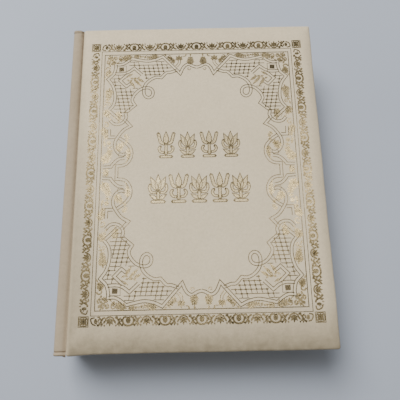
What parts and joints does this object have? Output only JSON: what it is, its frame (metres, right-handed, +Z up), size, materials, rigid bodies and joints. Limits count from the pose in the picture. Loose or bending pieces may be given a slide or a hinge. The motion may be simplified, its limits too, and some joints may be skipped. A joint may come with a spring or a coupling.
{
  "type": "bible",
  "caption": "Large family Bible with padded leatherette covers, gold-stamped front, rounded spine, sewn page sections and hinged covers with loose endpapers.",
  "frame": {"origin": "middle of the closed book's footprint, on the surface that it lies on", "axes": "+Z up through the front cover; +Y to the head; +X to the fore edge, so the spine is at -X"},
  "size_m": [0.235, 0.298, 0.0602],
  "materials": {
    "cover_leather": "ivory imitation leather with a fine grain, satin",
    "padding_foam": "soft open foam",
    "grey_board": "plain binder's board",
    "endpaper": "heavy cream stock",
    "page_paper": "thin printing paper with gilt edges",
    "mull_gauze": "open cotton weave, glued",
    "kraft_liner": "brown kraft paper",
    "sewing_thread": "twisted thread",
    "headband": "woven band, striped",
    "gold_foil": "stamped gold foil, satin metallic"
  },
  "bodies": {
    "text_block": {"section_01": "page_paper", "section_02": "page_paper", "section_03": "page_paper", "section_04": "page_paper", "section_05": "page_paper", "section_06": "page_paper", "section_07": "page_paper", "section_08": "page_paper", "section_09": "page_paper", "section_10": "page_paper", "section_11": "page_paper", "section_12": "page_paper", "section_13": "page_paper", "section_14": "page_paper", "section_15": "page_paper", "section_16": "page_paper", "section_17": "page_paper", "section_18": "page_paper", "section_19": "page_paper", "section_20": "page_paper", "section_21": "page_paper", "section_22": "page_paper", "spine_cover_leather": "cover_leather", "spine_card": "grey_board", "spine_liner": "kraft_liner", "mull": "mull_gauze", "sewing_thread_1": "sewing_thread", "sewing_thread_2": "sewing_thread", "sewing_thread_3": "sewing_thread", "sewing_thread_4": "sewing_thread", "sewing_thread_5": "sewing_thread", "sewing_thread_6": "sewing_thread", "head_band": "headband", "tail_band": "headband"},
    "front_cover": {"front_cover_leather": "cover_leather", "front_foil_band": "gold_foil", "front_padding": "padding_foam", "front_board": "grey_board", "front_pastedown": "endpaper"},
    "back_cover": {"back_cover_leather": "cover_leather", "back_padding": "padding_foam", "back_board": "grey_board", "back_pastedown": "endpaper"},
    "front_flyleaf": {"front_flyleaf": "endpaper"},
    "presentation_leaf": {"presentation_leaf": "page_paper"},
    "family_record_leaf": {"family_record_leaf": "page_paper"},
    "title_leaf": {"title_leaf": "page_paper"},
    "back_flyleaf": {"back_flyleaf": "endpaper"}
  },
  "joints": [
    {"name": "front_cover_hinge", "type": "hinge", "parent": "text_block", "child": "front_cover", "pos_m": [-0.1085, 0, 0.054], "axis": [0, -1, 0], "range_deg": [0, 179]},
    {"name": "back_cover_hinge", "type": "hinge", "parent": "text_block", "child": "back_cover", "pos_m": [-0.1085, 0, 0.006], "axis": [0, 1, 0], "range_deg": [0, 179]},
    {"name": "front_flyleaf_turn", "type": "hinge", "parent": "text_block", "child": "front_flyleaf", "pos_m": [-0.1085, 0, 0.054], "axis": [0, -1, 0], "range_deg": [0, 179]},
    {"name": "presentation_leaf_turn", "type": "hinge", "parent": "text_block", "child": "presentation_leaf", "pos_m": [-0.1085, 0, 0.054], "axis": [0, -1, 0], "range_deg": [0, 179]},
    {"name": "family_record_leaf_turn", "type": "hinge", "parent": "text_block", "child": "family_record_leaf", "pos_m": [-0.1085, 0, 0.054], "axis": [0, -1, 0], "range_deg": [0, 179]},
    {"name": "title_leaf_turn", "type": "hinge", "parent": "text_block", "child": "title_leaf", "pos_m": [-0.1085, 0, 0.054], "axis": [0, -1, 0], "range_deg": [0, 179]},
    {"name": "back_flyleaf_turn", "type": "hinge", "parent": "text_block", "child": "back_flyleaf", "pos_m": [-0.1085, 0, 0.006], "axis": [0, 1, 0], "range_deg": [0, 179]}
  ],
  "couplings": [
    {"joint": "front_flyleaf_turn", "follows": "front_cover_hinge", "ratio": 0.97},
    {"joint": "presentation_leaf_turn", "follows": "front_cover_hinge", "ratio": 0.86},
    {"joint": "family_record_leaf_turn", "follows": "front_cover_hinge", "ratio": 0.66},
    {"joint": "title_leaf_turn", "follows": "front_cover_hinge", "ratio": 0.38},
    {"joint": "back_flyleaf_turn", "follows": "back_cover_hinge", "ratio": 1}
  ]
}
